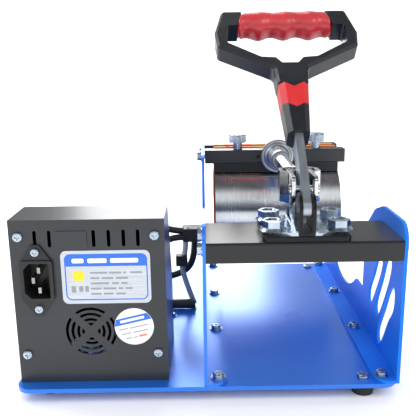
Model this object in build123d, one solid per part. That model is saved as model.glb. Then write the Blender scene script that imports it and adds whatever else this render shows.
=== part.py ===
from build123d import *
import math
import os

# Mug heat press. Lengths in millimetres.
# Drawing axes: X runs right from the left side panel's inner face, Y from the base plate's rear edge
# towards the control panel side, Z up from the base plate's top face. save() moves it all to the row
# frame.

# Base plate, feet and side panels
BASE_X0 = -131.8
BASE_X1 = 131.5
BASE_DEPTH = 255.0
BASE_T = 3.0
FOOT_H = 7.5
FOOT_R = 8.5
PANEL_T = 2.2
PANEL_GAP = 129.3
FLANGE_W = 14.0
FLANGE_SCREW_Y = (8.9, 87.7, 166.5, 245.3)
NOTCH_Y = 168.0
NOTCH_Z = 90.0
NOTCH_R = 75.5

# Crossbar and clamp
BAR_TOP = 101.9
BAR_H = 13.6
BAR_Y0 = 0.4
BAR_Y1 = 54.0
CLAMP_X = 66.0
PLATE_T = 3.5
PLATE_TOP = BAR_TOP + PLATE_T
PLUNGER_Z = 133.0
CRANK_R = 14.0
PIVOT_Y = 10.1
PIVOT_Z = 123.1
DRIVE_Y = PIVOT_Y + CRANK_R * math.sin(math.radians(45.0))
LEVER_T = 5.5
LEVER_W = 14.0
STEM_LEAN = 45.0
GRIP_LEAN = 50.0
BEND_Y = 80.0
BEND_Z = 193.0
GRIP_HALF = 37.5
GRIP_U = 80.0
GRIP_R = 10.6
GRIP_CORE_R = 7.2

# Mug wrap and its two clamping bars
WRAP_Y = 192.0
WRAP_Z = 81.0
WRAP_X0 = 8.4
WRAP_X1 = 121.7
MUG_R = 41.0
PAD_T = 2.4
BAND_T = 0.6
NEAR_BAR_Y = 167.0
FAR_BAR_Y = 202.0
BAR_D = 15.0
WRAP_BAR_Z0 = 126.6
WRAP_BAR_Z1 = 138.6
THUMB_X = (30.5, 101.5)

# Control box
BOX_X0 = -129.8
BOX_X1 = -26.9
BOX_Y0 = 9.9
BOX_H = 117.0
BOX_FRONT = 82.0
BOX_TOP_EDGE = 49.0
BOX_SILL = 49.0
SHEET = 1.2
INLET_X = -112.6
INLET_Z = 75.6

# From the drawing axes to the row frame: bottom centre of the whole machine
SHIFT = (-1.55, -127.5, BASE_T + FOOT_H)

STANDING = (Align.CENTER, Align.CENTER, Align.MIN)


def block(x0, x1, y0, y1, z0, z1):
    return Pos((x0 + x1) / 2, (y0 + y1) / 2, (z0 + z1) / 2) * Box(x1 - x0, y1 - y0, z1 - z0)


def rod_x(x0, x1, y, z, r):
    return Pos((x0 + x1) / 2, y, z) * Rot(0, 90, 0) * Cylinder(r, x1 - x0)


def rod_y(x, y0, y1, z, r):
    return Pos(x, (y0 + y1) / 2, z) * Rot(-90, 0, 0) * Cylinder(r, y1 - y0)


def rod_z(x, y, z0, z1, r):
    return Pos(x, y, (z0 + z1) / 2) * Cylinder(r, z1 - z0)


def hex_z(x, y, z0, z1, flats):
    return Pos(x, y, z0) * extrude(RegularPolygon(flats / 2, 6, major_radius=False), z1 - z0)


def hex_x(x0, x1, y, z, flats):
    bar = extrude(RegularPolygon(flats / 2, 6, major_radius=False), x1 - x0)
    return Pos(x0, y, z) * Rot(0, 90, 0) * bar


def prism_x(points, x0, x1):
    return extrude(Plane.YZ.offset(x0) * Polygon(*points, align=None), x1 - x0, dir=(1, 0, 0))


def rounded_x(points, radii, x0, x1):
    outline = FilletPolyline(*points, radius=radii, close=True)
    return extrude(Plane.YZ.offset(x0) * make_face(outline), x1 - x0, dir=(1, 0, 0))


def ring_x(x0, x1, y, z, r_out, r_in):
    return rod_x(x0, x1, y, z, r_out) - rod_x(x0 - 1, x1 + 1, y, z, r_in)


def leaf(points, x0, x1):
    face = make_face(Spline(*points, periodic=True))
    return extrude(Plane.YZ.offset(x0) * face, x1 - x0, dir=(1, 0, 0))


def pan_head_z(x, y, z, r, h):
    head = rod_z(x, y, z, z + h, r)
    head = fillet(head.edges().sort_by(Axis.Z)[-1], h * 0.55)
    cross = block(x - r * 0.55, x + r * 0.55, y - 0.5, y + 0.5, z + h * 0.45, z + h + 1)
    cross += block(x - 0.5, x + 0.5, y - r * 0.55, y + r * 0.55, z + h * 0.45, z + h + 1)
    return head - cross


def pan_head_y(x, y, z, r, h):
    return Pos(x, y, z) * Rot(90, 0, 0) * pan_head_z(0, 0, 0, r, h)


def hex_head_out(x, side, y, z):
    # Hex head with a washer on a side panel's outer face; side is -1 for left and 1 for right
    far = x + side * 0.8
    top = x + side * 3.4
    washer = rod_x(min(x, far), max(x, far), y, z, 5.0)
    return washer + hex_x(min(far, top), max(far, top), y, z, 7.5)


# Base group ------------------------------------------------------------------------------------

FOOT_SPOTS = ((-111.0, 19.0), (109.0, 10.0), (-111.0, 243.0), (109.0, 243.0))
BOX_SCREW_SPOTS = ((-123.6, 24.0), (-33.1, 24.0), (-123.6, 68.0), (-33.1, 68.0))
CABLE_CLIP = (-30.0, 120.0)


def flange_spots():
    left = [(7.6, y) for y in FLANGE_SCREW_Y]
    right = [(PANEL_GAP - 7.6, y) for y in FLANGE_SCREW_Y]
    return left + right


def base_plate():
    plate = block(BASE_X0, BASE_X1, 0, BASE_DEPTH, -BASE_T, 0)
    plate = fillet(plate.edges().filter_by(Axis.Z), 10.0)
    for x, y in FOOT_SPOTS:
        plate -= rod_z(x, y, -BASE_T - 1, 1, 2.1)
    for x, y in flange_spots():
        plate -= rod_z(x, y, -BASE_T - 1, 1, 2.1)
    for x, y in BOX_SCREW_SPOTS:
        plate -= rod_z(x, y, -BASE_T - 1, 1, 1.6)
    plate -= rod_z(CABLE_CLIP[0], CABLE_CLIP[1], -BASE_T - 1, 1, 1.6)
    return plate


def rubber_feet():
    feet = Part()
    for x, y in FOOT_SPOTS:
        foot = Pos(x, y, -BASE_T - FOOT_H) * Cone(FOOT_R - 1.2, FOOT_R, FOOT_H, align=STANDING)
        foot -= rod_z(x, y, -BASE_T - FOOT_H - 1, -BASE_T - FOOT_H + 3.5, 4.6)
        foot -= rod_z(x, y, -BASE_T - FOOT_H, 0, 2.1)
        feet += foot
    return feet


def foot_screws():
    screws = Part()
    for x, y in FOOT_SPOTS:
        screws += pan_head_z(x, y, 0, 4.2, 2.4)
        screws += rod_z(x, y, -BASE_T - 5.4, 0, 2.0)
        screws += hex_z(x, y, -BASE_T - 6.6, -BASE_T - 4.0, 7.0)
    return screws


def clip_screw():
    x, y = CABLE_CLIP
    screw = rod_z(x, y, 0, 0.6, 4.0) + pan_head_z(x, y, 0.6, 2.9, 2.0)
    return screw + rod_z(x, y, -BASE_T - 1.5, 0.6, 1.5)


LEAF_A = ((18.8, 63.0), (22.9, 61.0), (35.3, 42.7), (47.0, 23.0), (49.3, 12.5), (45.0, 8.2), (40.3, 11.5),
          (22.8, 37.8), (14.6, 52.5))
LEAF_B = ((31.5, 83.5), (36.0, 79.0), (47.5, 56.4), (57.1, 38.7), (58.2, 31.0), (53.3, 26.6), (48.6, 30.4),
          (34.9, 52.1), (26.2, 70.3), (26.6, 80.5))
LEAF_C = ((51.6, 80.0), (56.0, 75.8), (68.9, 53.1), (77.8, 38.2), (77.6, 31.0), (73.2, 28.2), (68.6, 31.7),
          (56.3, 50.0), (47.2, 66.0), (47.2, 76.6))


def right_side_panel():
    x0 = PANEL_GAP
    x1 = PANEL_GAP + PANEL_T
    rim = [(0, 0), (0, 113), (52, 113), (72, 106), (96, 86), (96, 32), (250, 32), (250, 0)]
    sheet = rounded_x(rim, [0.5, 12, 16, 22, 2, 2, 12, 0.5], x0, x1)
    sheet -= rod_x(x0 - 1, x1 + 1, NOTCH_Y, NOTCH_Z, NOTCH_R)
    for points in (LEAF_A, LEAF_B, LEAF_C):
        sheet -= leaf(points, x0 - 1, x1 + 1)
    for y in (12.0, 45.0):
        sheet -= rod_x(x0 - 1, x1 + 1, y, 95.1, 2.6)
    flange = block(x0 - FLANGE_W, x0 + 0.1, 0, 250, 0, PANEL_T)
    flange = fillet(flange.edges().filter_by(Axis.Z).group_by(Axis.X)[0], 9.0)
    panel = sheet + flange
    for y in FLANGE_SCREW_Y:
        panel -= rod_z(x0 - 7.6, y, -1, PANEL_T + 1, 2.1)
    return panel


def left_side_panel():
    rim = [(0, 0), (0, 113), (56, 113), (92, 94), (118, 141.5), (240, 141.5), (250, 118), (250, 0)]
    sheet = rounded_x(rim, [0.5, 12, 16, 18, 14, 10, 12, 0.5], -PANEL_T, 0)
    for y in (12.0, 45.0):
        sheet -= rod_x(-PANEL_T - 1, 1, y, 95.1, 2.6)
    for y in (205.5, 213.5):
        sheet -= rod_x(-PANEL_T - 1, 1, y, 132.6, 2.1)
    slot = block(-PANEL_T - 1, 1, 174.5, 180.5, 129.9, 135.3)
    slot += rod_x(-PANEL_T - 1, 1, 174.5, 132.6, 2.7) + rod_x(-PANEL_T - 1, 1, 180.5, 132.6, 2.7)
    sheet -= slot
    sheet -= rod_x(-PANEL_T - 1, 1, 152, 66, 4.0)
    flange = block(-0.1, FLANGE_W, 0, 250, 0, PANEL_T)
    flange = fillet(flange.edges().filter_by(Axis.Z).group_by(Axis.X)[-1], 9.0)
    panel = sheet + flange
    for y in FLANGE_SCREW_Y:
        panel -= rod_z(7.6, y, -1, PANEL_T + 1, 2.1)
    return panel


def panel_screws():
    screws = Part()
    for x, y in flange_spots():
        screws += rod_z(x, y, PANEL_T, PANEL_T + 0.8, 5.2)
        screws += pan_head_z(x, y, PANEL_T + 0.8, 4.0, 2.6)
        screws += rod_z(x, y, -BASE_T - 3.4, PANEL_T + 0.8, 2.0)
        screws += hex_z(x, y, -BASE_T - 3.0, -BASE_T, 7.0)
    return screws


# Crossbar --------------------------------------------------------------------------------------

CLAMP_BOLTS = ((45.0, 14.0), (45.0, 42.0), (89.0, 14.0), (89.0, 42.0))


def cross_bar():
    z0 = BAR_TOP - BAR_H
    bar = block(0, PANEL_GAP, BAR_Y0, BAR_Y1, z0, BAR_TOP)
    bar = fillet(bar.edges().filter_by(Axis.X).group_by(Axis.Z)[-1], 1.6)
    bar -= block(2.0, PANEL_GAP - 2.0, BAR_Y0 + 2.0, BAR_Y1 - 2.0, z0 - 1, BAR_TOP - 2.0)
    for y in (12.0, 45.0):
        bar -= rod_x(-1, PANEL_GAP + 1, y, 95.1, 2.6)
    for x, y in CLAMP_BOLTS:
        bar -= rod_z(x, y, z0 - 1, BAR_TOP + 1, 4.1)
    return bar


def cross_bar_bolts():
    bolts = Part()
    for y in (12.0, 45.0):
        bolts += hex_head_out(-PANEL_T, -1, y, 95.1)
        bolts += hex_head_out(PANEL_GAP + PANEL_T, 1, y, 95.1)
        bolts += rod_x(-PANEL_T - 0.8, 8.0, y, 95.1, 2.5)
        bolts += rod_x(PANEL_GAP - 8.0, PANEL_GAP + PANEL_T + 0.8, y, 95.1, 2.5)
        bolts += hex_x(2.0, 6.2, y, 95.1, 8.0)
        bolts += hex_x(PANEL_GAP - 6.2, PANEL_GAP - 2.0, y, 95.1, 8.0)
    return bolts


# Lever clamp -----------------------------------------------------------------------------------

def clamp_base():
    plate = block(37.4, 95.4, 2.0, 52.0, BAR_TOP, PLATE_TOP)
    plate = fillet(plate.edges().filter_by(Axis.Z), 4.0)
    plate = fillet(plate.edges().group_by(Axis.Z)[-1], 0.8)
    for x, y in CLAMP_BOLTS:
        plate -= rod_z(x, y, BAR_TOP - 1, PLATE_TOP + 1, 4.1)
    return plate


def clamp_bolts():
    bolts = Part()
    for x, y in CLAMP_BOLTS:
        z = PLATE_TOP + 2.0
        skirt = Pos(x, y, z) * Cone(9.2, 7.6, 1.7, align=STANDING)
        head = hex_z(x, y, z, z + 6.4, 13.0)
        head -= Pos(x, y, z + 5.4) * Cone(4.4, 5.4, 1.2, align=STANDING)
        bolts += skirt + head
        bolts += rod_z(x, y, BAR_TOP - 10.0, z + 0.2, 4.0)
        bolts += hex_z(x, y, BAR_TOP - 8.5, BAR_TOP - 2.0, 13.0)
    return bolts


def guide_side(side):
    # One flanged side of the sheet-metal plunger guide, side -1 left or 1 right
    web_in = CLAMP_X + side * 5.5
    web_out = CLAMP_X + side * 7.5
    flange_out = CLAMP_X + side * 26.0
    rim = [(3, PLATE_TOP), (3, PLATE_TOP + 3.5), (31.0, 121.0), (52, 121.0), (52, PLATE_TOP)]
    web = rounded_x(rim, [0.3, 1.5, 3, 1, 0.3], min(web_in, web_out), max(web_in, web_out))
    web -= rounded_x([(20, 108.5), (33, 116.0), (46, 116.0), (46, 108.5)], [1.5, 3, 3, 3],
                     min(web_in, web_out) - 1, max(web_in, web_out) + 1)
    corner = CLAMP_X + side * 10.0
    rim = [(web_in, 3), (corner, 3), (flange_out, 13), (flange_out, 52), (web_in, 52)]
    flange = extrude(Pos(0, 0, PLATE_TOP) * make_face(Polyline(*rim, close=True)), 2.0, dir=(0, 0, 1))
    for x, y in CLAMP_BOLTS:
        flange -= rod_z(x, y, PLATE_TOP - 1, PLATE_TOP + 3, 4.1)
    return web + flange


def guide_bracket():
    return guide_side(-1) + guide_side(1)


def collar_outline(half, near, far, cut):
    x = CLAMP_X
    return [(x - half + cut, near), (x - half, near + cut), (x - half, far - cut), (x - half + cut, far),
            (x + half - cut, far), (x + half, far - cut), (x + half, near + cut), (x + half - cut, near)]


def guide_collar():
    outer = Polygon(*collar_outline(14.0, 31.0, 54.0, 6.0), align=None)
    inner = Polygon(*collar_outline(11.7, 33.0, 52.0, 5.0), align=None)
    tube = extrude(Pos(0, 0, 121.0) * outer, 21.5, dir=(0, 0, 1))
    core = extrude(Pos(0, 0, 123.0) * inner, 22.0, dir=(0, 0, 1))
    tube -= core
    tube -= block(CLAMP_X - 9.0, CLAMP_X + 9.0, 28.0, 40.0, 126.6, 144.0)
    tube -= rod_y(CLAMP_X, 48.0, 58.0, PLUNGER_Z, 8.0)
    return tube


def guide_bush():
    body = rod_y(CLAMP_X, 47.6, 56.5, PLUNGER_Z, 7.95)
    body += rod_y(CLAMP_X, 54.0, 56.5, PLUNGER_Z, 9.6)
    return body - rod_y(CLAMP_X, 40.0, 60.0, PLUNGER_Z, 6.05)


def clamp_cheeks():
    x0 = CLAMP_X - 5.5
    x1 = CLAMP_X + 5.5
    cheeks = prism_x([(2.2, PLATE_TOP), (0.7, PIVOT_Z), (PIVOT_Y + 9.4, PIVOT_Z), (28.0, PLATE_TOP)], x0, x1)
    cheeks += rod_x(x0, x1, PIVOT_Y, PIVOT_Z, 9.4)
    cheeks -= block(CLAMP_X - 3.05, CLAMP_X + 3.05, -10, 40, PLATE_TOP + 2.3, 150)
    cheeks -= rod_x(x0 - 1, x1 + 1, PIVOT_Y, PIVOT_Z, 3.05)
    return cheeks


def pivot_pin():
    pin = rod_x(CLAMP_X - 5.5, CLAMP_X + 5.5, PIVOT_Y, PIVOT_Z, 3.0)
    for side in (-1, 1):
        a = CLAMP_X + side * 5.5
        b = CLAMP_X + side * 5.75
        pin += rod_x(min(a, b), max(a, b), PIVOT_Y, PIVOT_Z, 3.4)
    return pin


# Swinging lever and its handle ------------------------------------------------------------------

def lean_plane(y, z, lean):
    # Plane facing the rear and leaning forward from vertical; local x is X, local y climbs the handle
    a = math.radians(lean)
    return Plane(origin=(CLAMP_X, y, z), x_dir=(1, 0, 0), z_dir=(0, -math.cos(a), math.sin(a)))


def lever_blank(extra):
    plane = lean_plane(PIVOT_Y, PIVOT_Z, STEM_LEAN)
    blade = Box(LEVER_T + extra, 96.0, LEVER_W + extra, align=(Align.CENTER, Align.MIN, Align.CENTER))
    return plane * blade


def lever():
    blade = lever_blank(0)
    x0 = CLAMP_X - LEVER_T / 2
    x1 = CLAMP_X + LEVER_T / 2
    blade += rod_x(x0, x1, PIVOT_Y, PIVOT_Z, LEVER_W / 2)
    blade -= rod_x(x0 - 1, x1 + 1, PIVOT_Y, PIVOT_Z, 3.05)
    blade -= rod_x(x0 - 1, x1 + 1, DRIVE_Y, PLUNGER_Z, 2.52)
    for dist in RIVET_AT:
        y = PIVOT_Y + dist * math.sin(math.radians(STEM_LEAN))
        z = PIVOT_Z + dist * math.cos(math.radians(STEM_LEAN))
        blade -= rod_x(x0 - 1, x1 + 1, y, z, 2.05)
    return blade


RIVET_AT = (68.0, 86.0)


def handle_rivets():
    rivets = Part()
    for dist in RIVET_AT:
        y = PIVOT_Y + dist * math.sin(math.radians(STEM_LEAN))
        z = PIVOT_Z + dist * math.cos(math.radians(STEM_LEAN))
        rivets += rod_x(CLAMP_X - 7.0, CLAMP_X + 7.0, y, z, 2.0)
    return rivets


def drive_pin():
    pin = rod_x(CLAMP_X - 9.0, CLAMP_X + 9.0, DRIVE_Y, PLUNGER_Z, 2.5)
    for side in (-1, 1):
        a = CLAMP_X + side * 8.9
        b = CLAMP_X + side * 9.9
        pin += rod_x(min(a, b), max(a, b), DRIVE_Y, PLUNGER_Z, 3.6)
    return pin


def octagon(w, d, c):
    x = w / 2
    y = d / 2
    rim = [(-x, -y + c), (-x + c, -y), (x - c, -y), (x, -y + c)]
    rim += [(-px, -py) for px, py in rim]
    return Polygon(*rim, align=None)


def stem(shrink):
    # Tapered eight-sided stem from its foot to the fork of the grip
    foot = lean_plane(PIVOT_Y, PIVOT_Z, STEM_LEAN)
    low = Plane(origin=foot.from_local_coords((0, 56.0, 0)), x_dir=(1, 0, 0), z_dir=foot.y_dir)
    high = Plane(origin=foot.from_local_coords((0, 101.0, 0)), x_dir=(1, 0, 0), z_dir=foot.y_dir)
    face_a = low * octagon(15.5 - shrink, 19.5 - shrink, 3.4)
    face_b = high * octagon(22.0 - shrink, 20.5 - shrink, 4.2)
    return loft([face_a, face_b])


def grip_plane():
    return lean_plane(BEND_Y, BEND_Z, GRIP_LEAN)


def grip_outline():
    half = ((11.4, 2), (12.6, 20), (54.5, 45), (56.5, 62), (50.5, 89.5))
    rim = [(-x, y) for x, y in half] + list(reversed(half))
    outer = FilletPolyline(*rim, radius=[3, 6, 4, 6, 3, 3, 6, 4, 6, 3], close=True)
    half = ((6.0, 25), (10.5, 31), (21.5, 32), (47.0, 49.5), (47.5, 70.5))
    rim = [(-x, y) for x, y in half] + list(reversed(half))
    hole = FilletPolyline(*rim, radius=[1.2, 2, 3, 4, 3, 3, 4, 3, 2, 1.2], close=True)
    return make_face(outer) - make_face(hole)


def grip_frame():
    flat = extrude(grip_outline(), 8.0, both=True)
    flat = chamfer(flat.faces().sort_by(Axis.Z)[-1].outer_wire().edges(), 2.0)
    flat = chamfer(flat.faces().sort_by(Axis.Z)[0].outer_wire().edges(), 2.0)
    return grip_plane() * flat


def grip_rubber_solid():
    sleeve = Pos(0, GRIP_U, 0) * Rot(0, 90, 0) * Cylinder(GRIP_R, 2 * GRIP_HALF + 4)
    for k in (-1, 0, 1):
        sleeve += Pos(k * 20.5, GRIP_U - 4.6, 0) * Sphere(8.4)
    return sleeve


def grip_span():
    # The rubber's length between its slanting ends, longer on the fingers' side
    low = GRIP_HALF + 1.5
    high = GRIP_HALF - 4.5
    rim = [(-low, GRIP_U - 14), (low, GRIP_U - 14), (high, GRIP_U + 14), (-high, GRIP_U + 14)]
    return extrude(Polygon(*rim, align=None), 30.0, both=True)


def handle_grip():
    core = Pos(0, GRIP_U, 0) * Rot(0, 90, 0) * Cylinder(GRIP_CORE_R, 4 * GRIP_HALF)
    return grip_plane() * ((grip_rubber_solid() & grip_span()) - core)


def band_region():
    # Chevron-shaped length of the stem that the red collar covers
    plane = lean_plane(PIVOT_Y, PIVOT_Z, STEM_LEAN)
    low = [(-20, 82), (-8, 82), (0, 77.5), (8, 82), (20, 82)]
    high = [(20, 101), (8, 101), (0, 96.5), (-8, 101), (-20, 101)]
    return plane * extrude(Polygon(*low, *high, align=None), 20.0, both=True)


def handle_collar():
    return (stem(0) - stem(3.0)) & band_region()


def handle_body():
    body = stem(0) + grip_frame()
    hollow = Pos(0, GRIP_U, 0) * Rot(0, 90, 0) * Cylinder(14.0, 2 * GRIP_HALF + 4)
    cut = grip_plane() * (hollow & grip_span())
    core = grip_plane() * (Pos(0, GRIP_U, 0) * Rot(0, 90, 0) * Cylinder(GRIP_CORE_R, 2 * GRIP_HALF + 2))
    body = body - cut + core
    body -= (stem(-4) - stem(3.0)) & band_region()
    body -= lever_blank(0)
    for dist in RIVET_AT:
        y = PIVOT_Y + dist * math.sin(math.radians(STEM_LEAN))
        z = PIVOT_Z + dist * math.cos(math.radians(STEM_LEAN))
        body -= rod_x(CLAMP_X - 7.0, CLAMP_X + 7.0, y, z, 2.05)
    return body


# Plunger ----------------------------------------------------------------------------------------

FORK_Z = PLUNGER_Z + 2.05


def plunger_rod():
    fork = block(CLAMP_X - 8.6, CLAMP_X + 8.6, DRIVE_Y - 5.4, 46.0, FORK_Z - 7.2, FORK_Z + 7.2)
    fork = fillet(fork.edges().filter_by(Axis.X), 3.0)
    fork -= block(CLAMP_X - 6.2, CLAMP_X + 6.2, 0, 41.0, 100, 160)
    slot = block(CLAMP_X - 12, CLAMP_X + 12, DRIVE_Y - 3.05, DRIVE_Y + 3.05, FORK_Z - 2.05, FORK_Z + 2.05)
    slot += rod_x(CLAMP_X - 12, CLAMP_X + 12, DRIVE_Y, FORK_Z - 2.05, 3.05)
    slot += rod_x(CLAMP_X - 12, CLAMP_X + 12, DRIVE_Y, FORK_Z + 2.05, 3.05)
    fork -= slot
    return fork + rod_y(CLAMP_X, 45.0, 143.0, PLUNGER_Z, 6.0)


def plunger_foot():
    y = NEAR_BAR_Y - 0.4
    plane = Plane(origin=(CLAMP_X, y, PLUNGER_Z), x_dir=(1, 0, 0), z_dir=(0, 0, 1))
    rim = Polyline((0, 0), (14.8, 0), (14.8, -1.6))
    bell = Spline((14.8, -1.6), (10.2, -3.9), (8.2, -9.5), (7.6, -24.0))
    back = Polyline((7.6, -24.0), (6.0, -24.0), (6.0, -8.0), (0, -8.0), (0, 0))
    return revolve(plane * make_face(rim + bell + back), Axis((CLAMP_X, y, PLUNGER_Z), (0, 1, 0)))


# Mug wrap ---------------------------------------------------------------------------------------

def bar_blank(y0, x0, x1):
    bar = block(x0, x1, y0, y0 + BAR_D, WRAP_BAR_Z0, WRAP_BAR_Z1)
    return chamfer(bar.edges().filter_by(Axis.X), 0.8)


def near_bar():
    bar = bar_blank(NEAR_BAR_Y, 0.5, 127.0)
    bar -= rod_x(-1, 14, NEAR_BAR_Y + 7.5, 132.6, 2.5)
    for x in THUMB_X:
        bar -= rod_z(x, NEAR_BAR_Y + 7.5, 120, 140, 2.55)
    bar -= rod_y(48.5, NEAR_BAR_Y - 1, NEAR_BAR_Y + 5, 132.6, 1.6)
    return bar


def far_bar():
    bar = bar_blank(FAR_BAR_Y, 0.0, 127.0)
    for y in (205.5, 213.5):
        bar -= rod_x(-1, 14, y, 132.6, 2.0)
    return bar


def far_bar_screws():
    screws = Part()
    for y in (205.5, 213.5):
        screws += rod_x(-PANEL_T - 2.6, -PANEL_T, y, 132.6, 3.6)
        screws += rod_x(-PANEL_T, 12.0, y, 132.6, 1.98)
        screws -= hex_x(-PANEL_T - 3.0, -PANEL_T - 1.2, y, 132.6, 3.0)
    return screws


def bar_guide_screw():
    y = NEAR_BAR_Y + 7.5
    screw = rod_x(-PANEL_T - 1.1, -PANEL_T - 0.3, y, 132.6, 5.0)
    screw += rod_x(-PANEL_T - 4.4, -PANEL_T - 1.1, y, 132.6, 4.2)
    screw += rod_x(-PANEL_T - 1.1, 12.0, y, 132.6, 2.48)
    return screw - hex_x(-PANEL_T - 4.8, -PANEL_T - 2.6, y, 132.6, 3.0)


def thumb_screw(x):
    y = NEAR_BAR_Y + 7.5
    z = WRAP_BAR_Z1
    head = rod_z(x, y, z + 6.4, z + 13.6, 7.6)
    head = fillet(head.edges().group_by(Axis.Z)[-1], 1.2)
    for k in range(36):
        a = math.radians(10 * k)
        head -= rod_z(x + 7.75 * math.cos(a), y + 7.75 * math.sin(a), z + 6, z + 12.6, 0.42)
    head -= block(x - 9, x + 9, y - 0.8, y + 0.8, z + 11.4, z + 15)
    neck = rod_z(x, y, z + 0.3, z + 6.4, 4.1)
    return head + neck + rod_z(x, y, 125.4, z + 0.4, 2.5)


GAP_NEAR = NEAR_BAR_Y + BAR_D + 0.3
GAP_FAR = FAR_BAR_Y - 0.3


def split_ring(r_in, r_out, y0, y1):
    # Nearly closed ring about the mug axis, open on top between y0 and y1
    ring = ring_x(WRAP_X0, WRAP_X1, WRAP_Y, WRAP_Z, r_out, r_in)
    return ring - block(WRAP_X0 - 1, WRAP_X1 + 1, y0, y1, WRAP_Z, WRAP_Z + 60)


def lip(y0, y1, r, top):
    # Upright strip that rises between the bars from just outside radius r
    inner = min(abs(WRAP_Y - y0), abs(WRAP_Y - y1))
    return block(WRAP_X0, WRAP_X1, y0, y1, WRAP_Z + math.sqrt(r ** 2 - inner ** 2) + 0.02, top)


def heater_pad():
    return split_ring(MUG_R, MUG_R + PAD_T, GAP_NEAR + BAND_T, GAP_FAR - BAND_T)


def wrap_band():
    # Steel sleeve, with the two clamped lips of steel and pad that rise between the bars
    r = MUG_R + PAD_T
    band = split_ring(r, r + BAND_T, GAP_NEAR, GAP_FAR)
    band += lip(GAP_NEAR, GAP_NEAR + BAND_T, r, 138.0)
    band += lip(GAP_FAR - BAND_T, GAP_FAR, r, 138.0)
    band += lip(GAP_NEAR + BAND_T, GAP_NEAR + BAND_T + PAD_T, MUG_R, 139.6)
    band += lip(GAP_FAR - BAND_T - PAD_T, GAP_FAR - BAND_T, MUG_R, 139.6)
    return band


def wrap_strip(side):
    # Angle strip screwed under a bar; its apron hangs just clear of the band
    face = NEAR_BAR_Y + 0.3 if side < 0 else FAR_BAR_Y + BAR_D - 0.3
    apron_in = face - side * 1.2
    leg_in = face - side * 14.0
    x0 = WRAP_X0 + 0.6
    x1 = WRAP_X1 - 0.6
    strip = block(x0, x1, min(face, apron_in), max(face, apron_in), 118.6, WRAP_BAR_Z0)
    strip += block(x0, x1, min(face, leg_in), max(face, leg_in), WRAP_BAR_Z0 - 1.2, WRAP_BAR_Z0)
    if side < 0:
        for x in THUMB_X:
            strip -= rod_z(x, NEAR_BAR_Y + 7.5, 120, 130, 2.55)
    return strip


# Control box ------------------------------------------------------------------------------------

BOX_MID = (BOX_X0 + BOX_X1) / 2
SLOPE_LEN = math.hypot(BOX_FRONT - BOX_TOP_EDGE, BOX_H - BOX_SILL)
SLOPE_Y = (BOX_H - BOX_SILL) / SLOPE_LEN
SLOPE_Z = (BOX_FRONT - BOX_TOP_EDGE) / SLOPE_LEN
BACK_SCREWS = ((-123.6, 105.8), (-33.6, 105.8), (-123.6, 21.4), (-33.6, 21.4))
FRONT_SCREWS = ((-120.0, 9.0), (-120.0, 42.0), (-36.7, 9.0), (-36.7, 42.0))
VENT_X = (-112.7, -103.1, -73.8, -63.9, -54.1, -44.6)
FAN_X = -79.0
FAN_Z = 37.8
FAN_R = (5.4, 8.8, 12.7, 16.5)
BUTTON_AT = (-22.0, 0.0, 22.0)
SWITCH_X = -50.0
SWITCH_Z = 25.0


def box_outline():
    rim = ((BOX_Y0, 0), (BOX_Y0, BOX_H), (BOX_TOP_EDGE, BOX_H), (BOX_FRONT, BOX_SILL), (BOX_FRONT, 0))
    return Polygon(*rim, align=None)


def box_shell():
    outer = extrude(Plane.YZ.offset(BOX_X0) * box_outline(), BOX_X1 - BOX_X0, dir=(1, 0, 0))
    inner = offset(box_outline(), amount=-SHEET, kind=Kind.INTERSECTION)
    outer -= extrude(Plane.YZ.offset(BOX_X0 + SHEET) * inner, BOX_X1 - BOX_X0 - 2 * SHEET, dir=(1, 0, 0))
    return outer


def front_zone():
    # Everything ahead of the inner faces of the sloping and upright front, between the side walls
    y = BOX_TOP_EDGE - SHEET * SLOPE_Y
    z = BOX_H - SHEET * SLOPE_Z
    face = BOX_FRONT - SHEET
    run = (face - y) / SLOPE_Z
    rim = ((y - 2 * SLOPE_Z, z + 2 * SLOPE_Y), (face, z - run * SLOPE_Y), (face, -1), (99, -1), (99, 130))
    return prism_x(rim, BOX_X0 + SHEET, BOX_X1 - SHEET)


def box_cover():
    cover = box_shell() - front_zone()
    cover -= block(BOX_X0 - 1, BOX_X1 + 1, 0, BOX_Y0 + SHEET, -1, 130)
    cover -= block(BOX_X0 + 11, BOX_X1 - 11, 0, 90, -1, 3)
    for x, y in BOX_SCREW_SPOTS:
        cover -= rod_z(x, y, -1, 3, 1.6)
    for x, z in BACK_SCREWS:
        cover += block(x - 5.2, x + 5.6, BOX_Y0 + SHEET, BOX_Y0 + 2 * SHEET, z - 6, z + 6)
        cover -= rod_y(x, 0, 20, z, 1.55)
    for x, z in FRONT_SCREWS:
        out = math.copysign(1, x - BOX_MID)
        xs = sorted((x - out * 4.6, x + out * 10.8))
        cover += block(xs[0], xs[1], BOX_FRONT - 2 * SHEET, BOX_FRONT - SHEET, z - 6, z + 6)
        cover -= rod_y(x, 70, 90, z, 1.55)
    return cover & block(BOX_X0, BOX_X1, BOX_Y0, BOX_FRONT, 0, BOX_H)


def face_plane():
    # On the sloping front; local x points left as the operator sees the machine from behind, local y up
    y = (BOX_TOP_EDGE + BOX_FRONT) / 2
    z = (BOX_H + BOX_SILL) / 2
    return Plane(origin=(BOX_MID, y, z), x_dir=(-1, 0, 0), z_dir=(0, SLOPE_Y, SLOPE_Z))


def front_panel():
    panel = box_shell() & front_zone()
    panel -= face_plane() * (Pos(0, 14, 0) * Box(62.0, 26.0, 8))
    for u in BUTTON_AT:
        panel -= face_plane() * (Pos(u, -17, 0) * Cylinder(5.3, 8))
    panel -= block(SWITCH_X - 8.2, SWITCH_X + 8.2, 78, 84, SWITCH_Z - 11.6, SWITCH_Z + 11.6)
    for x, z, r in LEAD_EXITS:
        panel -= rod_y(x, 78, 84, z, r)
    for x, z in FRONT_SCREWS:
        panel -= rod_y(x, 78, 84, z, 1.55)
    return panel


LEAD_EXITS = ((-92.0, 14.0, 4.2), (-80.0, 14.0, 4.2), (-68.0, 22.0, 4.2), (-104.0, 6.5, 5.2))


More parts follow.
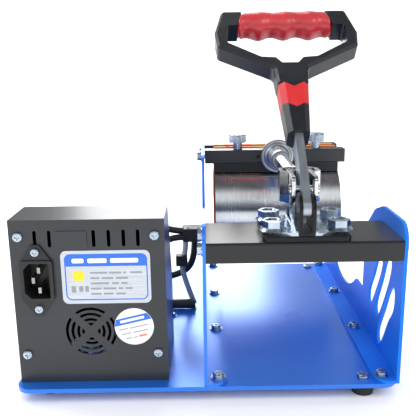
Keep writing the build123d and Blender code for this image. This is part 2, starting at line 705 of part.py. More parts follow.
def display_window():
    glass = Pos(0, 14, -0.5) * Box(61.6, 25.6, 1.8)
    rim = Pos(0, 14, -2.1) * Box(68.0, 31.0, 1.8)
    return face_plane() * (glass + rim)


def push_button(u):
    cap = Pos(u, -17, -0.2) * Cylinder(5.0, 5.2)
    cap = fillet(cap.edges().sort_by(Axis.Z)[-1], 0.9)
    collar = Pos(u, -17, -2.6) * Cylinder(6.4, 1.0)
    return face_plane() * (cap + collar)


def switch_frame():
    frame = block(SWITCH_X - 9.6, SWITCH_X + 9.6, BOX_FRONT, BOX_FRONT + 1.8, SWITCH_Z - 13, SWITCH_Z + 13)
    frame = fillet(frame.edges().filter_by(Axis.Y), 1.5)
    frame += block(SWITCH_X - 8.1, SWITCH_X + 8.1, 68, BOX_FRONT + 0.5, SWITCH_Z - 11.5, SWITCH_Z + 11.5)
    frame -= block(SWITCH_X - 6.9, SWITCH_X + 6.9, 70, BOX_FRONT + 3, SWITCH_Z - 10.4, SWITCH_Z + 10.4)
    return frame - rod_x(SWITCH_X - 8.0, SWITCH_X + 8.0, 79.0, SWITCH_Z, 1.26)


def power_rocker():
    z = SWITCH_Z
    rim = ((82.2, z + 8.8), (82.7, z), (84.8, z - 8.8), (79.0, z - 7.4), (75.6, z), (78.4, z + 7.4))
    rocker = prism_x(rim, SWITCH_X - 6.5, SWITCH_X + 6.5)
    return rocker + rod_x(SWITCH_X - 7.8, SWITCH_X + 7.8, 79.0, SWITCH_Z, 1.2)


def fan_slots():
    slots = Part()
    for r in FAN_R:
        ring = rod_y(FAN_X, 8, 14, FAN_Z, r + 1.0) - rod_y(FAN_X, 7, 15, FAN_Z, r - 1.0)
        slots += ring
    half = FAN_R[-1] + 3
    for turn in (45, 135):
        bar = Pos(FAN_X, 11, FAN_Z) * Rot(0, turn, 0) * Box(2 * half, 10, 5.2)
        slots -= bar
    return slots


def back_panel():
    panel = block(BOX_X0, BOX_X1, BOX_Y0, BOX_Y0 + SHEET, 0, BOX_H)
    panel -= fan_slots()
    for x in VENT_X:
        slot = block(x - 1.2, x + 1.2, 8, 13, 99.4, 108.6)
        slot += rod_y(x, 8, 13, 99.4, 1.2) + rod_y(x, 8, 13, 108.6, 1.2)
        panel -= slot
    for x, z in BACK_SCREWS:
        panel -= rod_y(x, 8, 13, z, 1.65)
    panel -= block(INLET_X - 10.4, INLET_X + 10.4, 8, 13, INLET_Z - 13.9, INLET_Z + 13.9)
    for dz in (-20, 20):
        panel -= rod_y(INLET_X, 8, 13, INLET_Z + dz, 1.65)
    return panel


def box_screws():
    screws = Part()
    for x, z in BACK_SCREWS:
        screws += pan_head_y(x, BOX_Y0, z, 3.3, 2.0)
        screws += rod_y(x, BOX_Y0, BOX_Y0 + 6, z, 1.5)
    for x, z in FRONT_SCREWS:
        head = Pos(x, BOX_FRONT, z) * Rot(-90, 0, 0) * pan_head_z(0, 0, 0, 3.3, 2.0)
        screws += head + rod_y(x, BOX_FRONT - 6, BOX_FRONT, z, 1.5)
    for x, y in BOX_SCREW_SPOTS:
        head = Pos(x, y, -BASE_T) * Rot(180, 0, 0) * pan_head_z(0, 0, 0, 3.3, 2.0)
        screws += head + rod_z(x, y, -BASE_T, 4.2, 1.5)
    return screws


def blank_plate():
    plate = block(-98.9, -78.3, BOX_Y0 - 0.8, BOX_Y0, 97.8, 109.2)
    return fillet(plate.edges().filter_by(Axis.Y), 0.8)


def rating_label():
    label = block(-96.6, -37.0, BOX_Y0 - 0.3, BOX_Y0, 58.3, 95.7)
    return fillet(label.edges().filter_by(Axis.Y), 4.0)


def round_sticker():
    return rod_y(-49.5, BOX_Y0 - 0.25, BOX_Y0, 41.0, 13.4)


def inlet_shell():
    x = INLET_X
    z = INLET_Z
    ears = [(x - 10.9, z - 12.5), (x - 2.6, z - 25), (x + 2.6, z - 25), (x + 10.9, z - 12.5),
            (x + 10.9, z + 12.5), (x + 2.6, z + 25), (x - 2.6, z + 25), (x - 10.9, z + 12.5)]
    outline = FilletPolyline(*[(px, -pz) for px, pz in ears], radius=2.0, close=True)
    flange = Plane((0, BOX_Y0, 0), x_dir=(1, 0, 0), z_dir=(0, 1, 0)) * make_face(outline)
    shell = extrude(flange, 1.8, dir=(0, -1, 0))
    rim = block(x - 10.9, x + 10.9, BOX_Y0 - 3.0, BOX_Y0, z - 14.2, z + 14.2)
    rim = fillet(rim.edges().filter_by(Axis.Y), 2.0)
    shell += rim
    shell += block(x - 10.2, x + 10.2, BOX_Y0 - 1, BOX_Y0 + 21, z - 13.7, z + 13.7)
    recess = [(x - 8.5, z - 8.2), (x - 4.4, z - 12.25), (x + 8.5, z - 12.25),
              (x + 8.5, z + 12.25), (x - 4.4, z + 12.25), (x - 8.5, z + 8.2)]
    mouth = FilletPolyline(*[(px, -pz) for px, pz in recess], radius=0.9, close=True)
    cut = Plane((0, BOX_Y0 - 4, 0), x_dir=(1, 0, 0), z_dir=(0, 1, 0)) * make_face(mouth)
    shell -= extrude(cut, 18.0, dir=(0, 1, 0))
    for px, pz in PIN_AT:
        shell -= block(x + px - 1.0, x + px + 1.0, BOX_Y0, BOX_Y0 + 30, z + pz - 2.0, z + pz + 2.0)
    for dz in (-20, 20):
        shell -= rod_y(x, 5, 20, z + dz, 1.65)
    return shell


PIN_AT = ((1.2, 7.0), (-2.8, 0.0), (1.2, -7.0))


def inlet_pins():
    pins = Part()
    for px, pz in PIN_AT:
        x = INLET_X + px
        z = INLET_Z + pz
        pins += block(x - 1.0, x + 1.0, BOX_Y0 - 1.2, BOX_Y0 + 28, z - 2.0, z + 2.0)
    return pins


def inlet_screws():
    screws = Part()
    for dz in (-20, 20):
        z = INLET_Z + dz
        screws += pan_head_y(INLET_X, BOX_Y0 - 1.8, z, 2.9, 1.8)
        screws += rod_y(INLET_X, BOX_Y0 - 1.8, BOX_Y0 + 6, z, 1.5)
        nut = extrude(RegularPolygon(2.75, 6, major_radius=False), 2.4)
        screws += Pos(INLET_X, BOX_Y0 + SHEET, z) * Rot(-90, 0, 0) * nut
    return screws


def control_board():
    board = block(-116.0, -66.0, 62.0, 63.6, 8.0, 46.0)
    for x in (-112.0, -70.0):
        for z in (12.0, 42.0):
            board -= rod_y(x, 60, 66, z, 1.6)
    return board


def board_posts():
    posts = Part()
    for x in (-112.0, -70.0):
        for z in (12.0, 42.0):
            posts += rod_y(x, 63.6, BOX_FRONT - SHEET, z, 2.6)
            posts += rod_y(x, 61.0, 63.6, z, 1.55)
            posts += rod_y(x, 60.0, 62.0, z, 2.6)
    return posts


# Internal leads ---------------------------------------------------------------------------------

def bend_radii(points, longest):
    radii = []
    for a, b, c in zip(points, points[1:], points[2:]):
        p = Vector(*b) - Vector(*a)
        q = Vector(*c) - Vector(*b)
        half = math.radians(p.get_angle(q)) / 2
        radii.append(min(longest, 0.45 * min(p.length, q.length) / math.tan(half)))
    return radii


def lead(name, points, r):
    # Round lead laid as straight runs joined by tangent arcs
    radii = bend_radii(points, 45.0)
    path = FilletPolyline(*points, radius=radii)
    print(name, "length", round(path.length, 1), "radii", [round(v, 1) for v in radii])
    section = Plane(origin=path @ 0, z_dir=path % 0) * Circle(r)
    return sweep(section, path)


UPPER_LEAD = ((-20.5, 150, 69), (-31, 150, 69), (-54, 150, 80), (-85, 128, 60), (-92, 108, 20), (-92, 80, 14))
LOWER_LEAD = ((-20.5, 150, 63), (-33.5, 150, 63), (-58, 150, 46), (-80, 118, 22), (-80, 80, 14))
LOOP_LEAD = ((-10, 152, 60), (-10, 152, 40), (-23, 151, 27), (-50, 148, 25), (-68, 120, 22), (-68, 80, 22))
SENSOR_LEAD = ((-18.0, 146.6, 60), (-18.0, 146.6, 50), (-24, 144.8, 36), (-11, 143, 2.0))
SLEEVE = ((-104, 80, 6.5), (-96, 132, 5), (-52, 136, 4.6), (-10, 136, 4.6))


def terminal_block():
    body = block(-20.5, -PANEL_T, 144, 160, 60, 72)
    body = chamfer(body.edges().filter_by(Axis.Y).group_by(Axis.X)[0], 1.2)
    body -= rod_z(-6.5, 147.5, 64, 73, 1.4) + rod_z(-15.5, 147.5, 64, 73, 1.4)
    return body


def lead_connector():
    body = block(-26.8, -16.6, 140.6, 148.6, 38.5, 48.0)
    body = fillet(body.edges().filter_by(Axis.Z), 1.2)
    radii = bend_radii(SENSOR_LEAD, 45.0)
    path = FilletPolyline(*SENSOR_LEAD, radius=radii)
    section = Plane(origin=path @ 0, z_dir=path % 0) * Circle(2.45)
    return body - sweep(section, path)


def wrap_lead():
    return rod_x(-PANEL_T, WRAP_X0, 152, 66, 1.8)


# Export -----------------------------------------------------------------------------------------

def save(name, shape):
    export_step(Pos(*SHIFT) * shape, f"parts/{name}.step")


def main():
    os.makedirs("parts", exist_ok=True)
    save("base_plate", base_plate())
    save("rubber_feet", rubber_feet())
    save("foot_screws", foot_screws())
    save("clip_screw", clip_screw())
    save("left_side_panel", left_side_panel())
    save("right_side_panel", right_side_panel())
    save("panel_screws", panel_screws())
    save("cross_bar", cross_bar())
    save("cross_bar_bolts", cross_bar_bolts())
    save("clamp_base", clamp_base())
    save("clamp_bolts", clamp_bolts())
    save("guide_bracket", guide_bracket())
    save("guide_collar", guide_collar())
    save("guide_bush", guide_bush())
    save("clamp_cheeks", clamp_cheeks())
    save("pivot_pin", pivot_pin())
    save("lever", lever())
    save("drive_pin", drive_pin())
    save("handle_rivets", handle_rivets())
    save("handle_body", handle_body())
    save("handle_grip", handle_grip())
    save("handle_collar", handle_collar())
    save("plunger_rod", plunger_rod())
    save("plunger_foot", plunger_foot())
    save("near_bar", near_bar())
    save("far_bar", far_bar())
    save("far_bar_screws", far_bar_screws())
    save("bar_guide_screw", bar_guide_screw())
    save("thumb_screw_left", thumb_screw(THUMB_X[0]))
    save("thumb_screw_right", thumb_screw(THUMB_X[1]))
    save("wrap_band", wrap_band())
    save("heater_pad", heater_pad())
    save("wrap_strip_near", wrap_strip(-1))
    save("wrap_strip_far", wrap_strip(1))
    save("box_cover", box_cover())
    save("box_back_panel", back_panel())
    save("box_front_panel", front_panel())
    save("box_screws", box_screws())
    save("blank_plate", blank_plate())
    save("rating_label", rating_label())
    save("round_sticker", round_sticker())
    save("inlet_shell", inlet_shell())
    save("inlet_pins", inlet_pins())
    save("inlet_screws", inlet_screws())
    save("display_window", display_window())
    save("button_left", push_button(BUTTON_AT[0]))
    save("button_middle", push_button(BUTTON_AT[1]))
    save("button_right", push_button(BUTTON_AT[2]))
    save("switch_frame", switch_frame())
    save("power_rocker", power_rocker())
    save("control_board", control_board())
    save("board_posts", board_posts())
    save("terminal_block", terminal_block())
    save("wrap_lead", wrap_lead())
    save("upper_lead", lead("upper_lead", UPPER_LEAD, 3.0))
    save("lower_lead", lead("lower_lead", LOWER_LEAD, 3.0))
    save("loop_lead", lead("loop_lead", LOOP_LEAD, 3.0))
    save("sensor_lead", lead("sensor_lead", SENSOR_LEAD, 2.4))
    save("lead_connector", lead_connector())
    save("lead_sleeve", lead("lead_sleeve", SLEEVE, 4.2))


main()
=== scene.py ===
import math
import bpy
import bmesh
from mathutils import Matrix, Vector


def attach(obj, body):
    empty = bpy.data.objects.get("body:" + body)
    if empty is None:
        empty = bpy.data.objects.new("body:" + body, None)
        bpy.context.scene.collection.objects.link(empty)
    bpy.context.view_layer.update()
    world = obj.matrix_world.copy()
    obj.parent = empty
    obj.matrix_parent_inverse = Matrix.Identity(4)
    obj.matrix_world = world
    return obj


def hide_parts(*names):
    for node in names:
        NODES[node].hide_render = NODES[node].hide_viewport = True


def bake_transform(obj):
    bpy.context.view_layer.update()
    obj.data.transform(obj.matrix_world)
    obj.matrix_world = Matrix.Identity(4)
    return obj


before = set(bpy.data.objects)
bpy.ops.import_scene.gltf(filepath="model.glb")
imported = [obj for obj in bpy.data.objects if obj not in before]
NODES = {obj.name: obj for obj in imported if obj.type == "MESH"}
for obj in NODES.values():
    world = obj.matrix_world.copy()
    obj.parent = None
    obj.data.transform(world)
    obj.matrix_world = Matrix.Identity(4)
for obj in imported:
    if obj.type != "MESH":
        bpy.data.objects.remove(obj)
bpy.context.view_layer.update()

# Drawing axes in millimetres, as in the part's own source, to the row frame in metres
SHIFT = Vector((-1.55, -127.5, 10.5))

# Drawing places, in millimetres
CLAMP_X = 66.0
PLUNGER_Z = 133.0
TAIL_Y = 152
TAIL_Z = 66


def at(x, y, z):
    return (Vector((x, y, z)) + SHIFT) / 1000


# Materials ----------------------------------------------------------------------------------------

class Look:
    """A principled material whose patterns run on object coordinates, which are the row frame at rest."""

    def __init__(self, name, **values):
        self.mat = bpy.data.materials.new(name)
        self.mat.use_nodes = True
        self.tree = self.mat.node_tree
        self.bsdf = self.tree.nodes["Principled BSDF"]
        for key, value in values.items():
            self.bsdf.inputs[key.replace("_", " ")].default_value = value

    def node(self, kind, sockets=None, **attrs):
        made = self.tree.nodes.new("ShaderNode" + kind)
        for key, value in attrs.items():
            setattr(made, key, value)
        for key, value in (sockets or {}).items():
            if isinstance(value, bpy.types.NodeSocket):
                self.tree.links.new(value, made.inputs[key])
            else:
                made.inputs[key].default_value = value
        return made

    def coords(self, stretch=(1, 1, 1), origin=(0, 0, 0)):
        start = self.node("TexCoord").outputs["Object"]
        moved = self.node("VectorMath", {0: start, 1: origin}, operation="SUBTRACT").outputs[0]
        return self.node("VectorMath", {0: moved, 1: stretch}, operation="MULTIPLY").outputs[0]

    def noise(self, scale, detail=3.0, stretch=(1, 1, 1)):
        sockets = {"Vector": self.coords(stretch), "Scale": scale, "Detail": detail, "Roughness": 0.55}
        return self.node("TexNoise", sockets).outputs["Fac"]

    def wave(self, stretch, scale, direction):
        sockets = {"Vector": self.coords(stretch), "Scale": scale}
        return self.node("TexWave", sockets, bands_direction=direction).outputs["Fac"]

    def math(self, kind, a, b):
        return self.node("Math", {0: a, 1: b}, operation=kind).outputs[0]

    def axis(self, name):
        return self.node("SeparateXYZ", {0: self.coords()}).outputs[name]

    def span(self, value, lo, hi, a=0.3, b=0.7):
        sockets = {"Value": value, "From Min": a, "From Max": b, "To Min": lo, "To Max": hi}
        return self.node("MapRange", sockets).outputs[0]

    def ramp(self, value, *stops):
        made = self.node("ValToRGB", {0: value})
        ramp = made.color_ramp
        while len(ramp.elements) < len(stops):
            ramp.elements.new(0.5)
        for element, (place, color) in zip(ramp.elements, stops):
            element.position = place
            element.color = (*color, 1)
        return made.outputs[0]

    def mix(self, mask, a, b):
        made = self.node("Mix", {0: mask}, data_type="RGBA")
        for socket, value in ((made.inputs[6], a), (made.inputs[7], b)):
            if isinstance(value, bpy.types.NodeSocket):
                self.tree.links.new(value, socket)
            else:
                socket.default_value = (*value, 1)
        return made.outputs[2]

    def edges(self, radius):
        # 1 along convex and concave edges, 0 on open faces
        soft = self.node("Bevel", {"Radius": radius}, samples=4).outputs[0]
        flat = self.node("NewGeometry").outputs["Normal"]
        facing = self.node("VectorMath", {0: soft, 1: flat}, operation="DOT_PRODUCT").outputs["Value"]
        return self.span(facing, 1.0, 0.0, 0.72, 0.98)

    def put(self, socket, value):
        self.tree.links.new(value, self.bsdf.inputs[socket])

    def bump(self, height, depth, strength):
        sockets = {"Height": height, "Distance": depth, "Strength": strength}
        made = self.node("Bump", sockets)
        past = self.bsdf.inputs["Normal"].links
        if past:
            self.tree.links.new(past[0].from_socket, made.inputs["Normal"])
        self.put("Normal", made.outputs[0])


def paint(name, dark, light, edge, rough, peel, **values):
    # Sprayed or powder paint: slow colour drift, orange peel, a little lighter on worn edges
    look = Look(name, **values)
    body = look.ramp(look.noise(14.0, 1.0), (0.1, dark), (0.9, light))
    worn = look.math("MULTIPLY", look.edges(0.0012), look.span(look.noise(160.0), 0.1, 0.7))
    look.put("Base Color", look.mix(worn, body, edge))
    look.put("Roughness", look.span(look.noise(20.0, 1.0), *rough, 0.1, 0.9))
    look.bump(look.noise(peel, 2.0), 0.00002, 0.5)
    return look


def metal(name, dark, light, rough, grain, stretch=(1, 1, 1), depth=0.000006):
    look = Look(name, Metallic=1.0)
    fine = look.noise(grain, 4.0, stretch)
    cloud = look.noise(35.0, 5.0)
    both = look.math("ADD", look.math("MULTIPLY", fine, 0.5), look.math("MULTIPLY", cloud, 0.5))
    look.put("Base Color", look.ramp(both, (0.36, dark), (0.64, light)))
    look.put("Roughness", look.span(both, *rough))
    look.bump(fine, depth, 0.7)
    return look


def moulded(name, dark, light, rough, grain, depth=0.00003, **values):
    # Plastic or rubber with a fine moulded grain
    look = Look(name, **values)
    look.put("Base Color", look.ramp(look.noise(30.0), (0.3, dark), (0.7, light)))
    look.put("Roughness", look.span(look.noise(120.0, 5.0), *rough))
    look.bump(look.noise(grain, 2.0), depth, 0.6)
    return look


BLUES = ((0.013, 0.170, 0.74), (0.018, 0.200, 0.84), (0.06, 0.30, 0.92))
BLUE = paint("blue_paint", *BLUES, (0.24, 0.28), 900.0, Metallic=0.40, Coat_Weight=0.55, Coat_Roughness=0.32)
BLUE_SIDE = paint("blue_side", *BLUES, (0.34, 0.40), 900.0, Metallic=0.15, IOR=1.3,
                  Specular_Tint=(0.16, 0.50, 1.0, 1))
POWDER = paint("black_powder", (0.022, 0.025, 0.029), (0.033, 0.036, 0.041), (0.08, 0.08, 0.085),
               (0.30, 0.36), 2600.0)
BAR = paint("black_bar", (0.006, 0.0068, 0.008), (0.011, 0.012, 0.014), (0.07, 0.07, 0.07),
            (0.30, 0.36), 2100.0)
GLOSS = paint("black_gloss", (0.005, 0.005, 0.006), (0.009, 0.009, 0.010), (0.07, 0.07, 0.07),
              (0.28, 0.36), 700.0, IOR=1.35)
ZINC = metal("zinc_plate", (0.36, 0.44, 0.54), (0.62, 0.71, 0.80), (0.20, 0.34), 420.0)
STEEL = metal("bright_steel", (0.60, 0.61, 0.63), (0.82, 0.83, 0.85), (0.10, 0.20), 260.0)
BLADE = metal("lever_steel", (0.46, 0.51, 0.57), (0.66, 0.71, 0.78), (0.42, 0.52), 300.0, (1, 0.25, 0.25))
BAND = metal("stainless_band", (0.50, 0.52, 0.54), (0.76, 0.78, 0.80), (0.22, 0.29), 60.0,
             (45, 1, 1), 0.000012)
BAND.put("Tangent", BAND.node("Tangent", direction_type="RADIAL", axis="X").outputs[0])
BAND.put("Anisotropic", BAND.span(BAND.noise(20.0), 0.75, 0.85))
BAND.bsdf.inputs["Anisotropic Rotation"].default_value = 0.25
BRASS = metal("pin_plate", (0.30, 0.30, 0.28), (0.46, 0.45, 0.42), (0.25, 0.35), 500.0)
RUBBER = moulded("foot_rubber", (0.010, 0.010, 0.010), (0.022, 0.022, 0.023), (0.65, 0.85), 1400.0, 0.00006)
HANDLE = moulded("handle_plastic", (0.007, 0.008, 0.011), (0.014, 0.016, 0.021), (0.34, 0.44), 1900.0,
                 0.00004)
GRIP = moulded("grip_rubber", (0.42, 0.010, 0.018), (0.58, 0.022, 0.032), (0.34, 0.46), 1500.0, 0.00004,
               Coat_Weight=0.6, Coat_Roughness=0.18)
COLLAR = moulded("collar_plastic", (0.50, 0.009, 0.012), (0.60, 0.016, 0.020), (0.36, 0.46), 1700.0,
                 IOR=1.38)
INLET = moulded("inlet_plastic", (0.010, 0.010, 0.011), (0.018, 0.018, 0.019), (0.32, 0.45), 2200.0)
SWITCH = moulded("switch_plastic", (0.010, 0.010, 0.010), (0.016, 0.016, 0.016), (0.22, 0.32), 1800.0)
BUTTON = moulded("button_plastic", (0.60, 0.60, 0.58), (0.70, 0.70, 0.68), (0.25, 0.35), 1800.0)
NYLON = moulded("post_nylon", (0.55, 0.55, 0.50), (0.68, 0.68, 0.63), (0.4, 0.55), 1200.0)
TERMINAL = moulded("terminal_plastic", (0.012, 0.012, 0.012), (0.022, 0.022, 0.022), (0.4, 0.55), 1500.0)
LEAD = moulded("lead_pvc", (0.014, 0.014, 0.015), (0.024, 0.024, 0.026), (0.30, 0.42), 700.0, 0.00004)
GREY_LEAD = moulded("lead_grey", (0.34, 0.35, 0.36), (0.46, 0.47, 0.48), (0.38, 0.5), 700.0, 0.00004)


def label_film():
    # Brushed silver polyester film
    look = Look("label_film", Metallic=0.35)
    streak = look.noise(50.0, 3.0, (1, 1, 26))
    look.put("Base Color", look.ramp(streak, (0.3, (0.50, 0.53, 0.58)), (0.7, (0.66, 0.69, 0.74))))
    look.put("Roughness", look.span(streak, 0.30, 0.42))
    look.bump(streak, 0.000008, 0.5)
    return look


def paper():
    look = Look("sticker_paper")
    fibre = look.noise(1800.0, 4.0)
    look.put("Base Color", look.ramp(fibre, (0.3, (0.78, 0.80, 0.82)), (0.7, (0.88, 0.90, 0.92))))
    look.put("Roughness", look.span(look.noise(300.0), 0.35, 0.5))
    look.bump(fibre, 0.00001, 0.5)
    return look


def ink(name, color):
    # Print with slightly uneven coverage
    look = Look(name)
    thin = tuple(min(1.0, c * 1.25 + 0.01) for c in color)
    look.put("Base Color", look.ramp(look.noise(900.0, 4.0), (0.35, color), (0.75, thin)))
    look.put("Roughness", look.span(look.noise(400.0), 0.3, 0.42))
    return look


def turned():
    # Lathe-turned steel: rings about the plunger's axis
    look = Look("turned_steel", Metallic=0.85)
    centred = look.coords(origin=at(CLAMP_X, 0, PLUNGER_Z))
    sockets = {"Vector": centred, "Scale": 130.0, "Distortion": 0.3, "Detail": 2.0}
    rings = look.node("TexWave", sockets, wave_type="RINGS", rings_direction="Y").outputs["Fac"]
    look.put("Base Color", look.ramp(rings, (0.2, (0.24, 0.26, 0.29)), (0.8, (0.62, 0.66, 0.70))))
    look.put("Roughness", look.span(look.noise(90.0, 5.0), 0.34, 0.44))
    look.bump(rings, 0.00005, 0.6)
    return look


# The stretch of the pad's trimmed edge that shows orange, in metres, and its foot, in drawing millimetres
ORANGE_FROM = 0.018
ORANGE_TO = 0.043
RIM_FOOT = 139.0


def silicone():
    # Orange silicone over woven glass; the trimmed upper edge shows yellow cloth beside the orange
    look = Look("heater_silicone", Coat_Weight=0.1)
    weave = look.math("MULTIPLY", look.wave((1, 0, 0), 380.0, "X"), look.wave((0, 0, 1), 380.0, "Z"))
    base = look.ramp(look.noise(45.0), (0.3, (0.50, 0.075, 0.022)), (0.7, (0.66, 0.12, 0.035)))
    x = look.axis("X")
    past_from = look.math("GREATER_THAN", x, ORANGE_FROM)
    orange = look.math("MULTIPLY", past_from, look.math("LESS_THAN", x, ORANGE_TO))
    rim = look.mix(orange, (0.62, 0.46, 0.10), (0.90, 0.16, 0.03))
    edge = look.math("GREATER_THAN", look.axis("Z"), at(0, 0, RIM_FOOT).z)
    look.put("Base Color", look.mix(edge, base, rim))
    look.put("Roughness", look.span(look.noise(200.0, 4.0), 0.5, 0.7))
    look.bump(weave, 0.00006, 0.6)
    return look


def glass():
    look = Look("display_glass", IOR=1.5, Coat_Weight=1.0)
    smear = look.noise(70.0, 4.0)
    look.put("Base Color", look.ramp(smear, (0.3, (0.006, 0.008, 0.010)), (0.7, (0.010, 0.013, 0.016))))
    look.put("Roughness", look.span(smear, 0.05, 0.14))
    return look


def board():
    look = Look("circuit_board")
    sockets = {"Vector": look.coords(), "Scale": 260.0}
    cells = look.node("TexVoronoi", sockets, feature="DISTANCE_TO_EDGE").outputs[0]
    track = look.span(cells, 1.0, 0.0, 0.02, 0.06)
    look.put("Base Color", look.mix(track, (0.006, 0.060, 0.020), (0.02, 0.14, 0.05)))
    look.put("Roughness", look.span(look.noise(300.0), 0.25, 0.4))
    look.bump(track, 0.00003, 0.5)
    return look


def braid():
    # Woven sleeving round the thick lead
    look = Look("lead_braid")
    one_way = look.wave((1, 1, 1), 320.0, "DIAGONAL")
    other_way = look.wave((-1, 1, 1), 320.0, "DIAGONAL")
    weave = look.math("MULTIPLY", one_way, other_way)
    look.put("Base Color", look.ramp(weave, (0.1, (0.020, 0.021, 0.024)), (0.9, (0.070, 0.074, 0.080))))
    look.put("Roughness", look.span(weave, 0.5, 0.34, 0.1, 0.9))
    look.bump(weave, 0.0001, 0.7)
    return look


LOOKS = {
    BLUE: ("base_plate", "left_side_panel"),
    BLUE_SIDE: ("right_side_panel",),
    POWDER: ("box_cover", "box_back_panel", "box_front_panel", "blank_plate", "near_bar", "far_bar"),
    BAR: ("cross_bar", "wrap_strip_near", "wrap_strip_far"),
    GLOSS: ("clamp_base", "clamp_cheeks"),
    ZINC: ("foot_screws", "clip_screw", "panel_screws", "cross_bar_bolts", "clamp_bolts", "guide_bracket",
           "handle_rivets", "far_bar_screws", "bar_guide_screw", "thumb_screw_left", "thumb_screw_right",
           "box_screws", "inlet_screws"),
    STEEL: ("guide_collar", "guide_bush", "pivot_pin", "drive_pin", "plunger_rod"),
    BLADE: ("lever",),
    turned(): ("plunger_foot",),
    RUBBER: ("rubber_feet",),
    HANDLE: ("handle_body",),
    COLLAR: ("handle_collar",),
    INLET: ("inlet_shell",),
    BRASS: ("inlet_pins",),
    SWITCH: ("switch_frame", "power_rocker"),
    BUTTON: ("button_left", "button_middle", "button_right"),
    NYLON: ("board_posts",),
    TERMINAL: ("terminal_block", "lead_connector"),
    label_film(): ("rating_label",),
    paper(): ("round_sticker",),
    glass(): ("display_window",),
    board(): ("control_board",),
}
for look, names in LOOKS.items():
    for name in names:
        for slot in NODES[name].material_slots:
            slot.material = look.mat


# Rounded edges on the rigid pieces ------------------------------------------------------------------

def soften(width, *names):
    for name in names:
        node = NODES[name]
        weld = node.modifiers.new("weld", "WELD")
        weld.merge_threshold = 0.000004
        flat = node.modifiers.new("flat", "DECIMATE")
        flat.decimate_type = "DISSOLVE"
        flat.angle_limit = math.radians(0.4)
        bevel = node.modifiers.new("bevel", "BEVEL")
        bevel.width = width
        bevel.segments = 2
        bevel.limit_method = "ANGLE"
        bevel.angle_limit = math.radians(38)
        bevel.harden_normals = False
        even = node.modifiers.new("normals", "WEIGHTED_NORMAL")
        even.keep_sharp = True


PLATE_EDGE = 0.0005
SMALL_EDGE = 0.0003
soften(PLATE_EDGE, "base_plate", "left_side_panel", "right_side_panel")
soften(PLATE_EDGE, "cross_bar", "clamp_base", "clamp_cheeks")
soften(SMALL_EDGE, "near_bar", "far_bar", "box_cover", "box_back_panel", "box_front_panel")
soften(SMALL_EDGE, "guide_bracket", "guide_collar", "lever", "handle_body", "inlet_shell", "switch_frame")
soften(SMALL_EDGE, "plunger_rod", "terminal_block")


# Mesh helpers ---------------------------------------------------------------------------------------

def piece(name, verts, faces, look, body="machine", smooth=True):
    mesh = bpy.data.meshes.new(name)
    mesh.from_pydata([tuple(v) for v in verts], [], faces)
    mesh.update()
    made = bpy.data.objects.new(name, mesh)
    bpy.context.scene.collection.objects.link(made)
    tidy = bmesh.new()
    tidy.from_mesh(mesh)
    bmesh.ops.recalc_face_normals(tidy, faces=tidy.faces)
    tidy.to_mesh(mesh)
    tidy.free()
    for face in mesh.polygons:
        face.use_smooth = smooth
    mesh.materials.append(look.mat)
    if body:
        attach(made, body)
    return made


def tube_faces(rows, columns, closed_rows=False):
    # Quads of a grid whose columns wrap round
    faces = []
    for i in range(rows if closed_rows else rows - 1):
        for j in range(columns):
            a = i * columns + j
            b = i * columns + (j + 1) % columns
            c = ((i + 1) % rows) * columns + (j + 1) % columns
            d = ((i + 1) % rows) * columns + j
            faces.append((a, b, c, d))
    return faces


def rounded(x0, x1, z0, z1, r, steps=6):
    # A rectangle with rounded corners, anticlockwise from its right-hand upper one
    points = []
    corners = ((x1 - r, z1 - r, 0), (x0 + r, z1 - r, 90), (x0 + r, z0 + r, 180), (x1 - r, z0 + r, 270))
    for cx, cz, start in corners:
        for k in range(steps + 1):
            a = math.radians(start + 90 * k / steps)
            points.append((cx + r * math.cos(a), cz + r * math.sin(a)))
    return points


# How far print stands off its surface, and print laid over other print, in millimetres
INK = 0.04
OVERPRINT = 0.045


def printed(name, shapes, face, look, height=INK):
    # Flat printed shapes standing a hair proud of a surface that faces the rear
    verts = []
    faces = []
    for shape in shapes:
        first = len(verts)
        n = len(shape)
        verts += [at(x, face, z) for x, z in shape]
        verts += [at(x, face - height, z) for x, z in shape]
        faces.append(tuple(range(first + n, first + 2 * n)))
        faces.append(tuple(range(first, first + n)))
        for k in range(n):
            faces.append((first + k, first + (k + 1) % n, first + n + (k + 1) % n, first + n + k))
    piece(name, verts, faces, look, smooth=False)


def ring_print(name, outer, inner, face, look):
    rings = ((outer, face), (outer, face - INK), (inner, face - INK), (inner, face))
    verts = [at(x, y, z) for ring, y in rings for x, z in ring]
    piece(name, verts, tube_faces(len(rings), len(outer), closed_rows=True), look, smooth=False)


# Rating label and round sticker, with plain bars where the print would be ---------------------------

INK_BLUE = ink("ink_blue", (0.020, 0.135, 0.62))
INK_GREY = ink("ink_grey", (0.26, 0.27, 0.30))
INK_WHITE = ink("ink_white", (0.80, 0.84, 0.90))
INK_YELLOW = ink("ink_yellow", (0.85, 0.62, 0.02))
INK_RED = ink("ink_red", (0.75, 0.20, 0.12))
LABEL_FACE = 9.6
STICKER_FACE = 9.65


def bars(rows, height):
    # Rounded bars: each row is its middle height and the spans of its bars
    half = height / 2
    return [rounded(x0, x1, z - half, z + half, height * 0.3, 3) for z, spans in rows for x0, x1 in spans]


